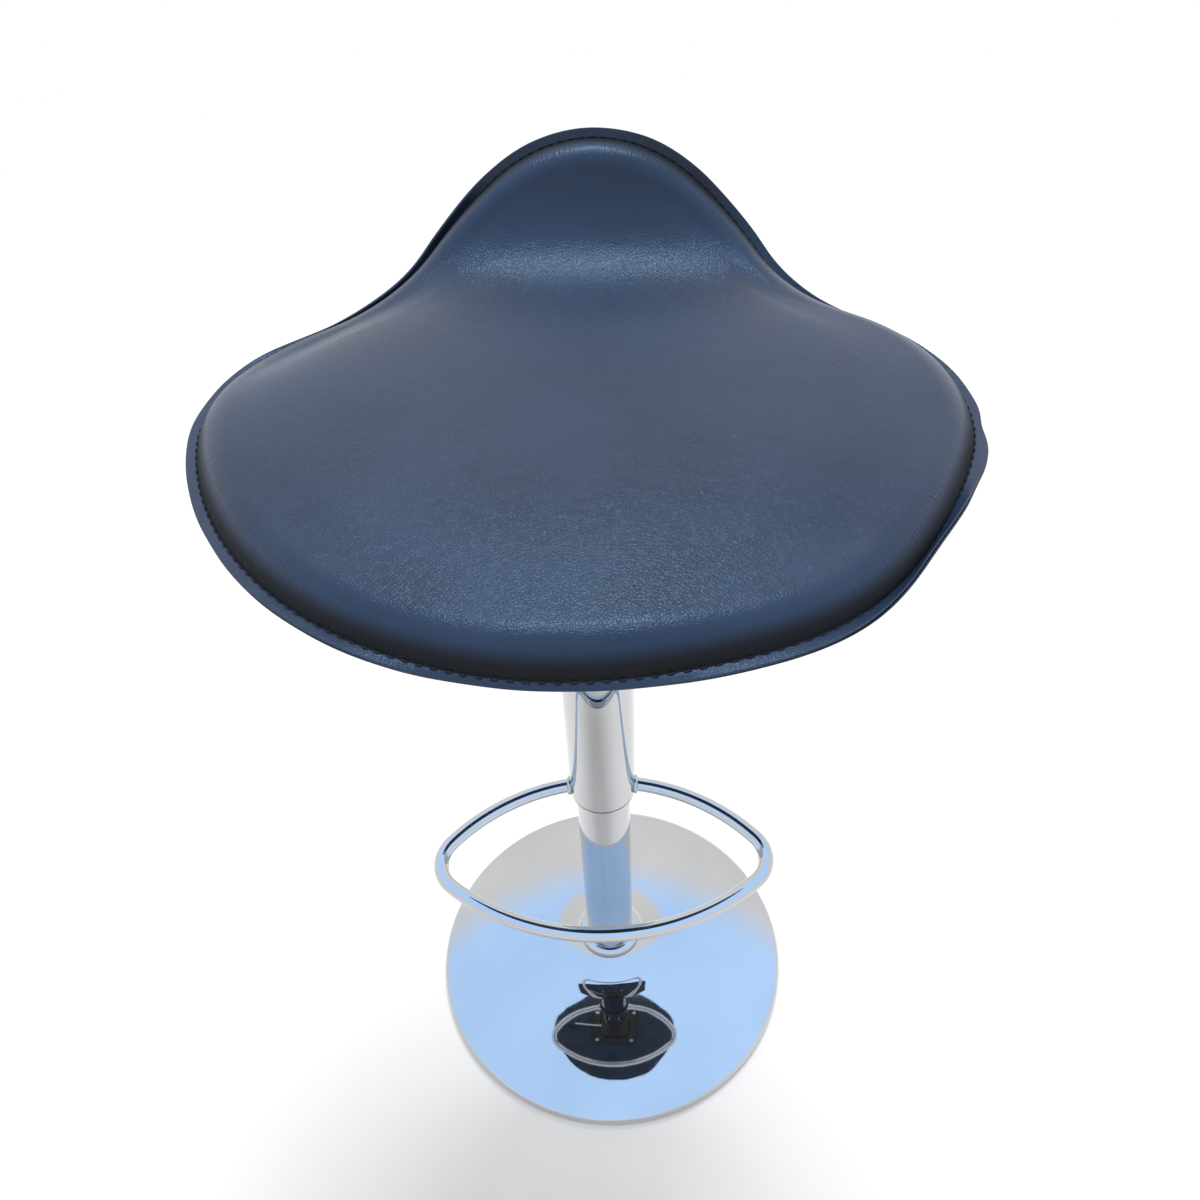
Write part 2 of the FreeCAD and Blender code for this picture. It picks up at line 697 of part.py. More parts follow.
def outline():
    """Front arc, lobes, waists and back arc, tangent to each other, in the plane's own X and Y."""
    lobe = V(seat_half_width - lobe_radius, lobe_place, 0)
    depth = lobe_place - outline_front
    front_arc_radius = (lobe.x ** 2 + depth ** 2 - lobe_radius ** 2) / (2 * (depth - lobe_radius))
    front = V(0, outline_front + front_arc_radius, 0)
    back = V(0, outline_back - back_arc_radius, 0)
    lobe_reach = lobe_radius + waist_radius
    back_reach = back_arc_radius + waist_radius
    across = back - lobe
    distance = across.Length
    foot = (lobe_reach ** 2 - back_reach ** 2 + distance ** 2) / (2 * distance)
    rise = math.sqrt(lobe_reach ** 2 - foot ** 2)
    along = across.normalize()
    waist = lobe + along * foot + V(along.y, -along.x, 0) * rise
    front_end = on_circle(front, front_arc_radius, lobe)
    lobe_end = on_circle(lobe, lobe_radius, waist)
    back_start = on_circle(back, back_arc_radius, waist)
    lobe_middle = on_circle(lobe, lobe_radius, (front_end + lobe_end) * 0.5)
    waist_middle = on_circle(waist, waist_radius, (lobe_end + back_start) * 0.5)

    def mirrored(p):
        return V(-p.x, p.y, p.z)

    return Part.Wire([
        arc(mirrored(front_end), V(0, outline_front, 0), front_end),
        arc(front_end, lobe_middle, lobe_end),
        arc(lobe_end, waist_middle, back_start),
        arc(back_start, V(0, outline_back, 0), mirrored(back_start)),
        arc(mirrored(back_start), mirrored(waist_middle), mirrored(lobe_end)),
        arc(mirrored(lobe_end), mirrored(lobe_middle), mirrored(front_end)),
    ])


def prism(inset):
    """The outline drawn in by inset, square to the tilted plane."""
    wire = outline()
    if inset > 0:
        wire = wire.makeOffset2D(-inset)
    depth = outline_back - outline_front
    wire.translate(V(0, 0, -depth))
    solid = Part.Face(wire).extrude(V(0, 0, 2 * depth))
    solid.rotate(V(0, 0, 0), V(1, 0, 0), outline_tilt)
    solid.translate(V(0, 0, seam_height))
    return solid


def height_over_seam(p):
    """Signed distance of a point from the side profile at the seam."""
    if p.y < flat_front:
        return math.hypot(p.y - lip_centre[0], p.z - lip_centre[1]) - lip_radius
    if p.y < flat_back:
        return p.z - seam_height
    run = radians(back_bend_angle)
    centre_y, centre_z = bend_profile_centre
    past_bend = (p.y - centre_y) * math.cos(run) + (p.z - centre_z) * math.sin(run)
    if past_bend > 0:
        return back_bend_radius + (p.y - centre_y) * -math.sin(run) + (p.z - centre_z) * math.cos(run)
    return back_bend_radius - math.hypot(p.y - centre_y, p.z - centre_z)


def rolled(height, inset, edge_radius):
    """One half of the upholstered body: from the seam up or down, its outer edge rolled over."""
    body = band(min(0, height), max(0, height)).common(prism(inset)).Solids[0]
    rim = []
    for edge in body.Edges:
        middle = edge.valueAt((edge.FirstParameter + edge.LastParameter) / 2)
        crosswise = edge.BoundBox.YLength < slip_fit and edge.BoundBox.ZLength < slip_fit
        if abs(height_over_seam(middle) - height) < slip_fit and not crosswise:
            rim.append(edge)
    return body.makeFillet(edge_radius, rim)


seam_inset = flange_width
fill_inset = flange_width + leather
foam = rolled(cushion_height - leather, fill_inset, cushion_edge_radius - leather)
top_skin = rolled(cushion_height, seam_inset, cushion_edge_radius)
top_hem = band(0, leather).common(prism(0)).Solids[0]
save("seat_foam", foam)
save("seat_cover_top", top_skin.fuse(top_hem).cut(foam).removeSplitter())

shell = rolled(-(shell_depth - leather), fill_inset, shell_edge_radius - leather)
under_skin = rolled(-shell_depth, seam_inset, shell_edge_radius)
under_hem = band(-leather, 0).common(prism(0)).Solids[0]
under_cover = under_skin.fuse(under_hem).cut(shell)
for x, y in four_corners(bolt_offset):
    under_cover = under_cover.cut(rod(hole_radius, V(x, y, pan_underside), V(x, y, seam_height)))
    shell = shell.cut(rod(bolt_radius + tnut_wall, V(x, y, pan_underside), V(x, y, seam_height)))
    flange_seat = V(x, y, seam_height - tnut_flange_thickness)
    shell = shell.cut(rod(tnut_flange_radius, flange_seat, V(x, y, seam_height)))
save("seat_shell", shell)
save("seat_cover_bottom", under_cover.removeSplitter())
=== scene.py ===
"""Looks of the bar stool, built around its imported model: sewn saddle seat, chrome, light and camera."""
import json
import math

import bpy
import numpy as np
from mathutils import Matrix, Vector


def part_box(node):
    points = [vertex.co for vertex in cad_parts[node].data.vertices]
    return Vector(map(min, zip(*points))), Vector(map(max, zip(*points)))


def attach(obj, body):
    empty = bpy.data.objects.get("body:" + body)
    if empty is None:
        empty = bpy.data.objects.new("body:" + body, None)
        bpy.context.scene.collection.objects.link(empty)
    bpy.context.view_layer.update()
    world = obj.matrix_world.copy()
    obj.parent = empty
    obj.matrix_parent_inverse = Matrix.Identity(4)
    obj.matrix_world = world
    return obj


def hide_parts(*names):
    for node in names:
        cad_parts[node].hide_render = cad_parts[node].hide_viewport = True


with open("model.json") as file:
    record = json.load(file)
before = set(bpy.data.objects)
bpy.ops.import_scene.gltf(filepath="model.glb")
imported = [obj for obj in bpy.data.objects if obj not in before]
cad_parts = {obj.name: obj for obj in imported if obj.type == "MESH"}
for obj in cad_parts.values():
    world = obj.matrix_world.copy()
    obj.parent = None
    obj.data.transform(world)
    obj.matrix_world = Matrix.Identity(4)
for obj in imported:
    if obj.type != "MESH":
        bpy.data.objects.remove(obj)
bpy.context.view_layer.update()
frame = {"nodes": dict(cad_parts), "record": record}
MM = 0.001

# Seat layout: a side profile at the seam, and an outline on a plane tilted towards the sitter
SEAM_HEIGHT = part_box("seat_tnuts")[1].z
HALF_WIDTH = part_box("seat_cover_top")[1].x
FLAT_FRONT, FLAT_BACK = -222 * MM, 69 * MM
LIP_RADIUS, LIP_ANGLE = 122 * MM, math.radians(40)
BEND_RADIUS, BEND_ANGLE = 101.5 * MM, math.radians(66)
SIDE_REACH = 400 * MM
SIDE_SAMPLES, NEAREST_SAMPLES = 4000, 2000
OUTLINE_TILT = math.radians(25)
OUTLINE_FRONT, OUTLINE_BACK, LOBE_PLACE = -227 * MM, 198 * MM, -26 * MM
LOBE_ARC, WAIST_ARC, BACK_ARC = 114 * MM, 245 * MM, 143 * MM
OUTLINE_POINTS, ARC_POINTS = 240, 200
PATCH = OUTLINE_POINTS // 4
PATCH_INSIDE = (PATCH - 1) ** 2

# Leather halves: rings on the seam plane, hem, rolled wall, parallel band and a square patch inside it
HEM_WIDTH, LEATHER_THICKNESS = 7 * MM, 1.2 * MM
PARALLEL_BAND, BAND_RINGS = 46 * MM, 4
SEAM_RINGS = (PARALLEL_BAND, 26 * MM, 14 * MM, HEM_WIDTH)
# Cross-section of one hem layer: how far out, and through how much of the leather
HEM_SECTION = (
    (0.2, 0), (0.35, 0), (0.6, 0), (0.85, 0), (0.97, 0.15), (1.0, 0.5), (0.985, 0.85),
    (0.93, 1), (0.8, 1), (0.6, 1), (0.4, 1), (0.24, 1), (0.12, 0.97), (0.05, 0.93),
)
HEM_HINGE, HEM_STREAK = 0.35, 0.3
# Degrees round the rolled wall, from the hem to the face
WALL_STEPS = (4, 12, 21, 31, 42, 53, 64, 74, 83, 90)
HELD_RINGS = len(SEAM_RINGS) + len(HEM_SECTION) + 1
CUSHION_RISE, CUSHION_ROLL, CUSHION_CROWN = 18 * MM, 17 * MM, 2 * MM
UNDERSIDE_DEPTH, UNDERSIDE_ROLL = 11.95 * MM, 4.5 * MM
CLOTH_PRESSURE, CLOTH_STIFFNESS, CLOTH_CAP, CLOTH_FRAMES = 4.0, 40, 4 * MM, 20
SMOOTH_ROUNDS, RELAX_ROUNDS, FREE_RINGS = 40, 16, 3

# Soft rises along the outline: share of the way from the front centre round the right, width and height
RIGHT_BULGE = ((0.112, 0.050, 8 * MM),)
LEFT_DIP = ((0.685, 0.055, 0.66),)
HEM_REACH = (
    (0.095, 0.034, 1.0 * MM),
    (0.680, 0.028, -4.0 * MM),
    (0.214, 0.014, 2.0 * MM),
    (0.238, 0.008, -1.8 * MM),
    (0, 0.055, -2.4 * MM),
)
HEM_CURL = ((0.152, 0.036, 62), (0.335, 0.050, 44), (0.640, 0.055, 64), (0.582, 0.020, 16), (0, 0.050, -36))
HEM_PARTING = ((0.430, 0.035, 20), (0.200, 0.020, 8))
# Ripple of the hem: height, waves round the outline and phase; then what it adds to reach, curl and parting
HEM_RIPPLE = ((0.35, 9, 0.6), (0.3, 17, 2.1), (0.2, 31, 4.0))
RIPPLE_REACH, RIPPLE_CURL, RIPPLE_PARTING = 0.4 * MM, 4, 2
PLAIN_CURL, PLAIN_PARTING = 3, 3
# A hem that curls by fewer radians than this counts as straight
STRAIGHT = 1e-4

# Stitches
STITCH_PITCH, STITCH_LENGTH, STITCH_PLACE = 7.6 * MM, 4.8 * MM, 0.15
STITCH_STEPS, STITCH_SIDES = 7, 8
STITCH_SKEW, SKEW_STEP = 0.018, 2.4
STITCH_TAPER, STITCH_FLATNESS = 0.45, 1.25
STITCH_ARCH, STITCH_DROP = 0.30 * MM, 0.95 * MM
THREAD_RADIUS = 0.5 * MM


def slopes(s):
    """Slope of the seat over its front lip and over its rear bend, s along the side profile."""
    lip = np.clip((FLAT_FRONT - s) / LIP_RADIUS, 0, LIP_ANGLE)
    bend = np.clip((s - FLAT_BACK) / BEND_RADIUS, 0, BEND_ANGLE)
    return lip, bend


def seat_point(x, s, height):
    """Points at a height over the seam, s along the side profile, counted from the column to the back."""
    lip, bend = slopes(s)
    lip_run = np.maximum(FLAT_FRONT - s - LIP_RADIUS * LIP_ANGLE, 0)
    bend_run = np.maximum(s - FLAT_BACK - BEND_RADIUS * BEND_ANGLE, 0)
    slope = lip + bend
    y = np.clip(s, FLAT_FRONT, FLAT_BACK) - LIP_RADIUS * np.sin(lip) + BEND_RADIUS * np.sin(bend)
    y += (bend_run - lip_run) * np.cos(slope)
    z = SEAM_HEIGHT - LIP_RADIUS * (1 - np.cos(lip)) + BEND_RADIUS * (1 - np.cos(bend))
    z += (bend_run - lip_run) * np.sin(slope)
    return np.stack([x, y - height * np.sin(slope), z + height * np.cos(slope)], axis=-1)


def side_profile(count, height):
    """Lengths along the side profile, and its points there at a height over the seam."""
    run = np.linspace(-SIDE_REACH, SIDE_REACH, count)
    return run, seat_point(np.zeros(count), run, np.full(count, height))


def arc_points(centre, radius, start, end):
    angle = np.linspace(start, end, ARC_POINTS)
    return np.stack([centre[0] + radius * np.cos(angle), centre[1] + radius * np.sin(angle)], axis=-1)


def angle_to(centre, point):
    return math.atan2(point[1] - centre[1], point[0] - centre[0])


def half_outline():
    """Right half of the outline on the tilted plane: front arc, lobe, waist and back arc, all tangent."""
    lobe = np.array([HALF_WIDTH - LOBE_ARC, LOBE_PLACE])
    depth = LOBE_PLACE - OUTLINE_FRONT
    front_arc = (lobe[0] ** 2 + depth ** 2 - LOBE_ARC ** 2) / (2 * (depth - LOBE_ARC))
    front = np.array([0, OUTLINE_FRONT + front_arc])
    back = np.array([0, OUTLINE_BACK - BACK_ARC])
    lobe_reach, back_reach = LOBE_ARC + WAIST_ARC, BACK_ARC + WAIST_ARC
    across = back - lobe
    distance = np.linalg.norm(across)
    along = across / distance
    foot = (lobe_reach ** 2 - back_reach ** 2 + distance ** 2) / (2 * distance)
    rise = math.sqrt(lobe_reach ** 2 - foot ** 2)
    waist = lobe + along * foot + np.array([along[1], -along[0]]) * rise
    lobe_start, lobe_end = angle_to(front, lobe), angle_to(lobe, waist)
    waist_start = angle_to(waist, lobe) % (2 * math.pi)
    waist_end = angle_to(waist, back) % (2 * math.pi)
    return np.concatenate([
        arc_points(front, front_arc, -math.pi / 2, lobe_start),
        arc_points(lobe, LOBE_ARC, lobe_start, lobe_end),
        arc_points(waist, WAIST_ARC, waist_start, waist_end),
        arc_points(back, BACK_ARC, angle_to(back, waist), math.pi / 2),
    ])


def even_outline():
    """Closed outline in the flat pattern (x, s), evenly spaced from the front centre, and its length."""
    run, side = side_profile(SIDE_SAMPLES, 0.0)
    on_plane = side[:, 1] * math.cos(OUTLINE_TILT) + (side[:, 2] - SEAM_HEIGHT) * math.sin(OUTLINE_TILT)
    half = half_outline()
    right = np.stack([half[:, 0], np.interp(half[:, 1], on_plane, run)], axis=-1)
    left = right[::-1] * (-1, 1)
    loop = np.concatenate([right, left])
    length = np.concatenate([[0], np.cumsum(np.linalg.norm(np.diff(loop, axis=0), axis=1))])
    wanted = np.linspace(0, length[-1], OUTLINE_POINTS, endpoint=False)
    return np.stack([np.interp(wanted, length, loop[:, k]) for k in (0, 1)], axis=-1), length[-1]


def inward(loop):
    """Unit vectors into the outline at each of its points."""
    ahead = np.roll(loop, -2, axis=0) - np.roll(loop, 2, axis=0)
    ahead /= np.linalg.norm(ahead, axis=1, keepdims=True)
    return np.stack([-ahead[:, 1], ahead[:, 0]], axis=-1)


shares = np.arange(OUTLINE_POINTS) / OUTLINE_POINTS


def rises(places):
    """Sum of soft rises at the outline's points."""
    total = np.zeros(OUTLINE_POINTS)
    for centre, width, height in places:
        away = (shares - centre + 0.5) % 1 - 0.5
        total += height * np.exp(-(away / width) ** 2)
    return total


def hem_shape():
    """How far the raw hem reaches out, how far it curls up and how far its two layers part."""
    turn = 2 * math.pi * shares
    ripple = sum(height * np.sin(waves * turn + phase) for height, waves, phase in HEM_RIPPLE)
    outward = RIPPLE_REACH * ripple + rises(HEM_REACH)
    curl = PLAIN_CURL + RIPPLE_CURL * ripple + rises(HEM_CURL)
    parting = PLAIN_PARTING + RIPPLE_PARTING * ripple + rises(HEM_PARTING)
    return outward, np.radians(curl), np.radians(parting)


outline, outline_length = even_outline()
outline -= inward(outline) * rises(RIGHT_BULGE)[:, None]
outline_in = inward(outline)
hem_outward, hem_curl, hem_parting = hem_shape()


def hem_spot(flat, into, out, through, curl, outward):
    """Points of the hem: out across its width, through above its middle; it bends up over a short hinge."""
    curl = np.where(np.abs(curl) < STRAIGHT, STRAIGHT, curl)
    slope = curl * np.minimum(out, HEM_HINGE) / HEM_HINGE
    hinge = HEM_HINGE * HEM_WIDTH / curl
    beyond = np.maximum(out - HEM_HINGE, 0) * HEM_WIDTH + outward * out ** 2
    run = hinge * np.sin(slope) + beyond * np.cos(slope)
    rise = hinge * (1 - np.cos(slope)) + beyond * np.sin(slope)
    depth = HEM_WIDTH - run + through * np.sin(slope)
    spot = flat + into * depth[..., None]
    return seat_point(spot[..., 0], spot[..., 1], rise + through * np.cos(slope))


def ring_at(depth, height, slant=0):
    """One ring at a depth inside the hem's edge and a height; slant 1 leans it as the shell's edge leans."""
    x, s = (outline + outline_in * depth).T
    lean = height * np.tan(sum(slopes(s)) - OUTLINE_TILT)
    return seat_point(x, s + slant * lean, np.broadcast_to(height, OUTLINE_POINTS))


def patch_grid(first_ring, first_inner):
    """Vertex numbers of a square grid whose rim is a ring and whose inside is numbered on its own."""
    grid = np.empty((PATCH + 1, PATCH + 1), int)
    rim = first_ring + (np.arange(OUTLINE_POINTS) - OUTLINE_POINTS // 8) % OUTLINE_POINTS
    grid[0, :] = rim[:PATCH + 1]
    grid[:, PATCH] = rim[PATCH:2 * PATCH + 1]
    grid[PATCH, ::-1] = rim[2 * PATCH:3 * PATCH + 1]
    grid[::-1, 0] = np.append(rim, rim[0])[3 * PATCH:]
    grid[1:-1, 1:-1] = first_inner + np.arange(PATCH_INSIDE).reshape(PATCH - 1, PATCH - 1)
    return grid


def patch_inside(height, crown):
    """Points inside the parallel band's ring, spread evenly between its four sides, with a crown."""
    ring = outline + outline_in * PARALLEL_BAND
    grid = patch_grid(0, 0)
    u, v = np.meshgrid(np.linspace(0, 1, PATCH + 1), np.linspace(0, 1, PATCH + 1))
    near, far, left, right = (ring[g][None] for g in (grid[0], grid[-1], grid[:, 0], grid[:, -1]))
    left, right = left.transpose(1, 0, 2), right.transpose(1, 0, 2)
    u, v = u[..., None], v[..., None]
    flat = (1 - v) * near + v * far + (1 - u) * left + u * right
    flat -= (1 - v) * ((1 - u) * near[:, :1] + u * near[:, -1:])
    flat -= v * ((1 - u) * far[:, :1] + u * far[:, -1:])
    middle = 16 * u * (1 - u) * v * (1 - v)
    rise = height + crown * (middle ** 2 * (3 - 2 * middle))[..., 0]
    return seat_point(flat[..., 0], flat[..., 1], rise)[1:-1, 1:-1].reshape(-1, 3)


def grid_faces(grid):
    corners = np.stack([grid[:-1, :-1], grid[:-1, 1:], grid[1:, 1:], grid[1:, :-1]], axis=-1)
    return corners.reshape(-1, 4).tolist()


def mesh_object(name, points, faces):
    mesh = bpy.data.meshes.new(name)
    mesh.from_pydata([tuple(p) for p in points], [], [tuple(int(i) for i in f) for f in faces])
    mesh.validate()
    mesh.shade_smooth()
    made = bpy.data.objects.new(name, mesh)
    bpy.context.scene.collection.objects.link(made)
    return made


def half_rings(side, rise, roll, slant, dip):
    """Rings of one leather half from the seam plane out round the hem, with the painted shade and dark
    reflection each carries, and their streaks.
    """
    rings = [ring_at(depth, 0) for depth in SEAM_RINGS]
    curl = hem_curl + side * hem_parting / 2
    for out, layer in HEM_SECTION:
        through = side * layer * LEATHER_THICKNESS
        rings.append(hem_spot(outline, outline_in, out, through, curl, hem_outward))
    # The last two hem rings and the rolled wall carry painted shade and dark reflection, strongest low on the
    # wall
    painted_wall_shade = [0] * (len(rings) - 2) + [1, 1]
    streaks = [HEM_STREAK] * len(rings)
    for angle in np.radians(WALL_STEPS):
        depth = HEM_WIDTH + roll * (1 - math.cos(angle))
        height = LEATHER_THICKNESS + (rise - LEATHER_THICKNESS) * (1 - dip) * math.sin(angle)
        rings.append(ring_at(depth, side * height, slant))
        painted_wall_shade.append(math.cos(angle))
        streaks.append(math.cos(angle))
    band = np.linspace(HEM_WIDTH + roll, PARALLEL_BAND, BAND_RINGS + 1)[1:]
    fading = np.linspace(1, 0, BAND_RINGS + 1)[1:]
    for depth, fade in zip(band, fading):
        rings.append(ring_at(depth, side * rise * (1 - fade * dip), fade * slant))
    painted_wall_shade += [0] * BAND_RINGS
    streaks += [0] * BAND_RINGS
    return rings, painted_wall_shade, streaks


def note_edge(piece, rings, painted_wall_shade, streaks):
    """Keeps on the mesh what the leather reads: painted shade on the rolled wall, streaks, and places round
    and across the edge.
    """
    tones = np.repeat(np.stack([painted_wall_shade, streaks, np.zeros(len(rings))], axis=-1), OUTLINE_POINTS, axis=0)
    across = np.cumsum([0] + [np.linalg.norm(b - a, axis=1).mean() for a, b in zip(rings, rings[1:])])
    turn = np.tile(2 * math.pi * shares, len(rings))
    reach = outline_length / (2 * math.pi)
    places = np.stack([reach * np.cos(turn), reach * np.sin(turn), across.repeat(OUTLINE_POINTS)], axis=-1)
    for label, of_rings in (("edge", tones), ("edge_frame", places)):
        values = np.zeros((len(piece.data.vertices), 3))
        values[PATCH_INSIDE:PATCH_INSIDE + len(of_rings)] = of_rings
        piece.data.attributes.new(label, "FLOAT_VECTOR", "POINT").data.foreach_set("vector", values.ravel())


def padded_half(name, side, rise, roll, crown=0, slant=0, dip=0):
    """One leather half of the seat, closed: hem, rolled wall and face. side is 1 on top and -1 underneath."""
    rings, painted_wall_shade, streaks = half_rings(side, rise, roll, slant, dip)
    points = np.concatenate([patch_inside(0, 0), *rings, patch_inside(side * rise, side * crown)])
    last_ring = PATCH_INSIDE + (len(rings) - 1) * OUTLINE_POINTS
    faces = grid_faces(patch_grid(PATCH_INSIDE, 0)[:, ::-1])
    faces += grid_faces(patch_grid(last_ring, last_ring + OUTLINE_POINTS))
    for row in range(len(rings) - 1):
        here = PATCH_INSIDE + row * OUTLINE_POINTS + np.arange(OUTLINE_POINTS + 1) % OUTLINE_POINTS
        faces += grid_faces(np.stack([here, here + OUTLINE_POINTS]))
    if side < 0:
        faces = [face[::-1] for face in faces]
    made = mesh_object(name, points, faces)
    note_edge(made, rings, painted_wall_shade, streaks)
    return made


def coordinates(mesh):
    flat = np.empty(len(mesh.vertices) * 3)
    mesh.vertices.foreach_get("co", flat)
    return flat.reshape(-1, 3)


def evened(mesh, values, held, rounds):
    """Values averaged over their neighbours again and again, apart from those that are held."""
    ends = np.empty(len(mesh.edges) * 2, np.int32)
    mesh.edges.foreach_get("vertices", ends)
    a, b = ends.reshape(-1, 2).T
    size = len(values)
    count = np.maximum(np.bincount(ends, minlength=size), 1)
    kept = values[held]
    for _ in range(rounds):
        total = [np.bincount(a, values[b, k], size) + np.bincount(b, values[a, k], size) for k in range(3)]
        values = np.stack(total, axis=-1) / count[:, None]
        values[held] = kept
    return values


def puff(piece):
    """Blows the leather up over its foam as cloth held along the hem; no point moves further than the cap."""
    before = coordinates(piece.data)
    held = np.arange(PATCH_INSIDE + HELD_RINGS * OUTLINE_POINTS)
    group = piece.vertex_groups.new(name="held")
    group.add(held.tolist(), 1.0, "REPLACE")
    cloth = piece.modifiers.new("cloth", "CLOTH")
    cloth.settings.vertex_group_mass = "held"
    cloth.settings.use_pressure = True
    cloth.settings.uniform_pressure_force = CLOTH_PRESSURE
    cloth.settings.effector_weights.gravity = 0
    cloth.settings.tension_stiffness = CLOTH_STIFFNESS
    cloth.settings.compression_stiffness = CLOTH_STIFFNESS
    cloth.collision_settings.use_collision = False
    scene = bpy.context.scene
    for step in range(1, CLOTH_FRAMES + 1):
        scene.frame_set(step)
    posed = piece.evaluated_get(bpy.context.evaluated_depsgraph_get())
    moved = coordinates(posed.data) - before
    piece.modifiers.remove(cloth)
    scene.frame_set(1)
    reach = np.linalg.norm(moved, axis=1, keepdims=True)
    moved *= np.minimum(1, CLOTH_CAP / np.maximum(reach, 1e-9))
    moved = evened(piece.data, moved, held, SMOOTH_ROUNDS)
    piece.data.vertices.foreach_set("co", (before + moved).ravel())
    piece.data.update()


def relax(piece, height=None):
    """Spreads the face's points evenly, from just inside the rolled wall; a given height is kept to."""
    points = coordinates(piece.data)
    first_free = len(points) - PATCH_INSIDE - FREE_RINGS * OUTLINE_POINTS
    points = evened(piece.data, points, np.arange(first_free), RELAX_ROUNDS)
    if height is not None:
        run, side = side_profile(NEAREST_SAMPLES, height)
        away = (points[first_free:, None, 1:] - side[None, :, 1:]) ** 2
        nearest = away.sum(axis=-1).argmin(axis=1)
        slope = sum(slopes(run))[nearest]
        past = points[first_free:, 1:] - side[nearest, 1:]
        s = run[nearest] + past[:, 0] * np.cos(slope) + past[:, 1] * np.sin(slope)
        points[first_free:] = seat_point(points[first_free:, 0], s, np.full_like(s, height))
    piece.data.vertices.foreach_set("co", points.ravel())
    piece.data.update()


def along_outline(run, values):
    """Values given at the outline's points, read at lengths along it."""
    marks = shares * outline_length
    if values.ndim == 1:
        return np.interp(run, marks, values, period=outline_length)
    return np.stack([np.interp(run, marks, values[:, k], period=outline_length) for k in (0, 1)], axis=-1)


def stitch_row(name, side):
    """Row of thread stitches on one side of the hem, each arched with its ends drawn into the leather."""
    count = round(outline_length / STITCH_PITCH)
    middle = (np.arange(count) + 0.5) * outline_length / count
    step = np.linspace(-1, 1, STITCH_STEPS)
    turn = 2 * math.pi * np.arange(STITCH_SIDES) / STITCH_SIDES
    run = (middle[:, None] + step * STITCH_LENGTH / 2)[..., None] + np.zeros(STITCH_SIDES)
    skew = (STITCH_SKEW * np.sin(SKEW_STEP * np.arange(count))[:, None] * step)[..., None]
    width = (THREAD_RADIUS * (1 - STITCH_TAPER * step ** 4))[:, None]
    arch = (STITCH_ARCH - STITCH_DROP * step ** 4)[:, None]
    out = STITCH_PLACE + skew + STITCH_FLATNESS * width * np.cos(turn) / HEM_WIDTH
    through = side * (LEATHER_THICKNESS + arch + width * np.sin(turn)) + np.zeros_like(out)
    curl = along_outline(run, hem_curl + side * hem_parting / 2)
    points = hem_spot(along_outline(run, outline), along_outline(run, outline_in), out, through, curl, 0)
    faces = []
    for first in range(0, count * STITCH_STEPS * STITCH_SIDES, STITCH_STEPS * STITCH_SIDES):
        rows = first + np.arange(STITCH_STEPS * STITCH_SIDES).reshape(STITCH_STEPS, STITCH_SIDES)
        faces += grid_faces(np.concatenate([rows, rows[:, :1]], axis=1))
        faces += [rows[0, ::-1].tolist(), rows[-1].tolist()]
    return mesh_object(name, points.reshape(-1, 3), faces)


# Materials
def new_material(name):
    material = bpy.data.materials.new(name)
    material.use_nodes = True
    return material, material.node_tree, material.node_tree.nodes["Principled BSDF"]


def add(tree, kind, sockets=None, **settings):
    made = tree.nodes.new("ShaderNode" + kind)
    for setting, value in settings.items():
        setattr(made, setting, value)
    for socket, value in (sockets or {}).items():
        made.inputs[socket].default_value = value
    return made


def place(tree, stretch=(1, 1, 1)):
    """Object coordinates in metres, stretched."""
    source = add(tree, "TexCoord")
    mapping = add(tree, "Mapping", {"Scale": stretch})
    tree.links.new(source.outputs["Object"], mapping.inputs["Vector"])
    return mapping.outputs["Vector"]


def noise(tree, scale, detail, where=None, output="Fac"):
    made = add(tree, "TexNoise", {"Scale": scale, "Detail": detail})
    tree.links.new(where or place(tree), made.inputs["Vector"])
    return made.outputs[output]


def two_tone(tree, factor, dark, light, low=0.3, high=0.7):
    ramp = add(tree, "ValToRGB")
    ends = ramp.color_ramp.elements
    ends[0].position, ends[0].color = low, (*dark, 1)
    ends[1].position, ends[1].color = high, (*light, 1)
    tree.links.new(factor, ramp.inputs["Fac"])
    return ramp.outputs["Color"]


def span(tree, factor, low, high):
    """A factor spread between two values."""
    made = add(tree, "MapRange", {"From Min": 0.3, "From Max": 0.7, "To Min": low, "To Max": high})
    tree.links.new(factor, made.inputs["Value"])
    return made.outputs["Result"]


def bumped(tree, shader, height, depth, strength):
    made = add(tree, "Bump", {"Strength": strength, "Distance": depth})
    tree.links.new(height, made.inputs["Height"])
    tree.links.new(made.outputs["Normal"], shader.inputs["Normal"])


def attribute(tree, label):
    return add(tree, "Attribute", attribute_name=label).outputs["Vector"]


def blend(tree, factor, first, second, kind="MIX"):
    made = add(tree, "MixRGB", blend_type=kind)
    for socket, value in zip(("Fac", "Color1", "Color2"), (factor, first, second)):
        if isinstance(value, bpy.types.NodeSocket):
            tree.links.new(value, made.inputs[socket])
        else:
            made.inputs[socket].default_value = value
    return made.outputs["Color"]


# Black leather tones whose blue is a painted reflection of a blue sky
LEATHER_TONES_PAINTED_BLUE = (0.016, 0.029, 0.060), (0.024, 0.041, 0.080)
LEATHER_ROUGH, LEATHER_IOR = (0.25, 0.33), 1.4
# The near-black colour on the rolled wall is painted shade and dark reflection; the wall is also rougher
# there
WALL_PAINTED_SHADE, WALL_ROUGH = (0.004, 0.004, 0.005, 1), (0.75, 0.75, 0.75, 1)
WALL_START, WALL_WHOLE = 0.62, 0.92
HIDE_SCALE, WARP_SCALE, PEBBLE_SCALE, FINE_SCALE, STREAK_SCALE = 14.0, 130.0, 520.0, 900.0, 620.0
WARP_SIZE, CREASE_WIDTH, FINE_SHARE = 0.006, 0.22, 0.5
STREAK_STRETCH, STREAK_HEIGHT = (1, 1, 0.16), 3.5
GRAIN_DEPTH, GRAIN_STRENGTH = 0.3 * MM, 0.26


